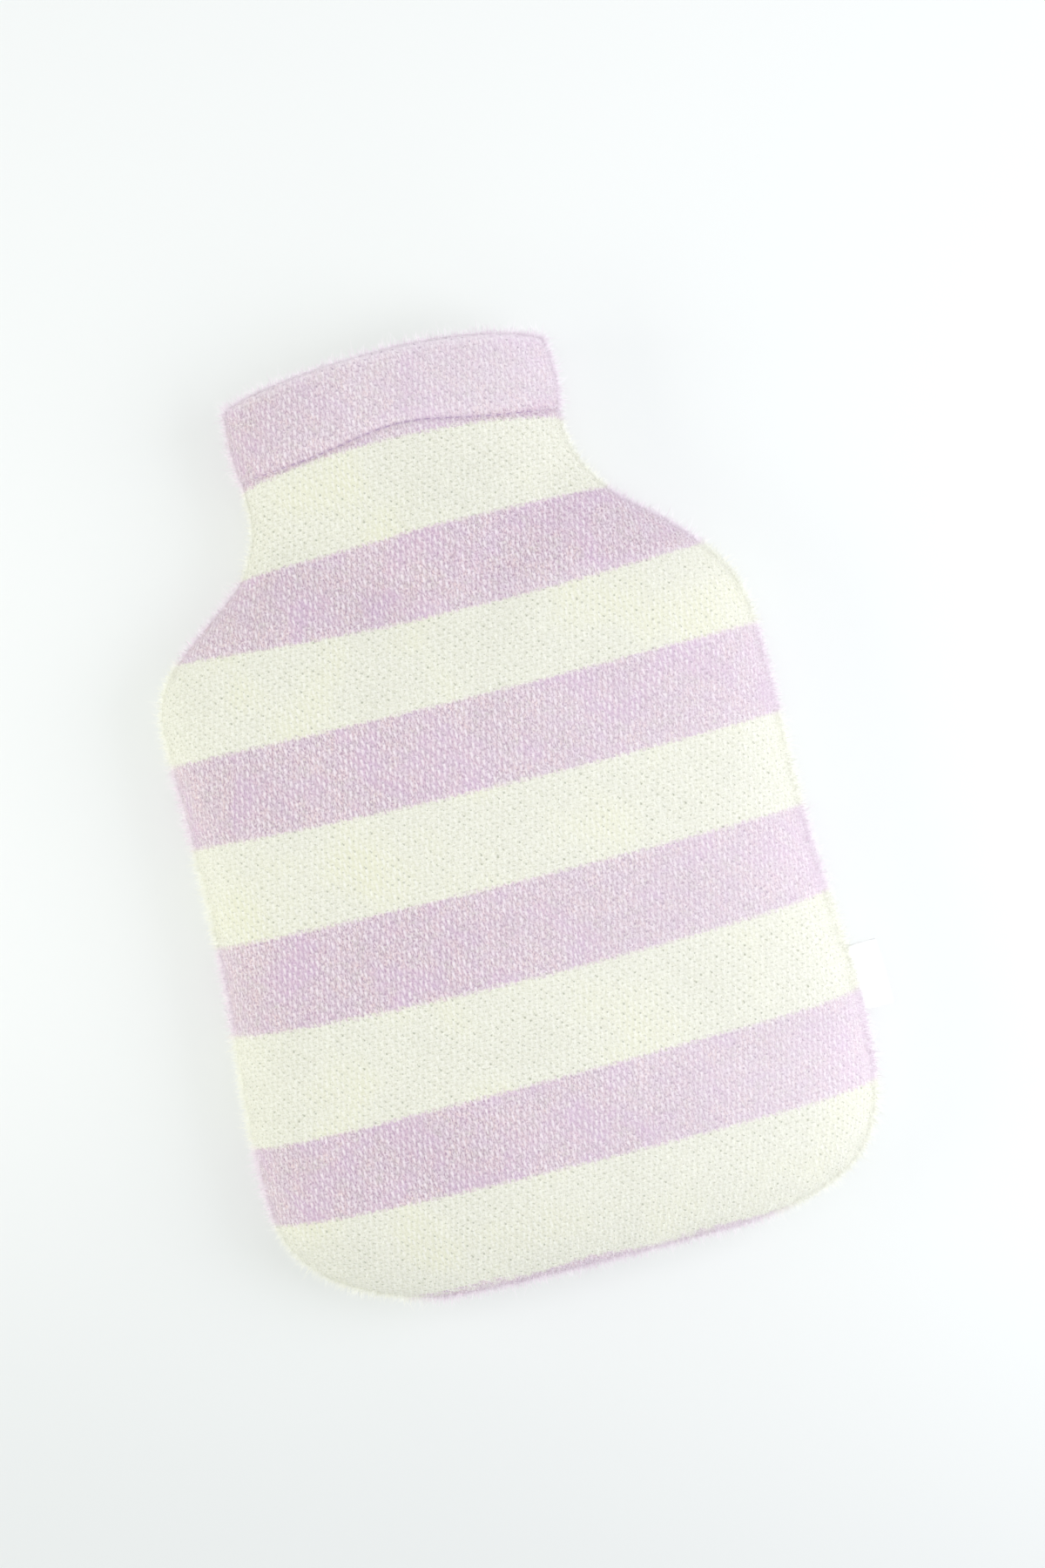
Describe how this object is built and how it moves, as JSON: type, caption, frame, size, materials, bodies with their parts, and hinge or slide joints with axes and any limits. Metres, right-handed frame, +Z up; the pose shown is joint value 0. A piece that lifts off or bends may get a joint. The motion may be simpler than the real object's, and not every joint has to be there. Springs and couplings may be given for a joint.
{
  "type": "hot water bottle cover",
  "caption": "Brushed wool hot water bottle cover, lilac and cream cross stripes, lying full with an open hemmed neck and a blank side tab.",
  "frame": {"origin": "on the flat underside, on the line through the middle of the cover's width and length", "axes": "+X across the cover towards the side with the tab, +Y from the bottom seam to the neck's mouth, +Z up from the surface it lies on, out of the front"},
  "size_m": [0.2393, 0.3383, 0.047],
  "materials": {
    "striped_wool": "brushed woven wool in wide lilac and cream cross stripes",
    "ribbon": "smooth white woven ribbon, blank"
  },
  "bodies": {
    "root": {"front_panel": "striped_wool", "back_panel": "striped_wool", "label_tab": "ribbon"}
  },
  "joints": []
}
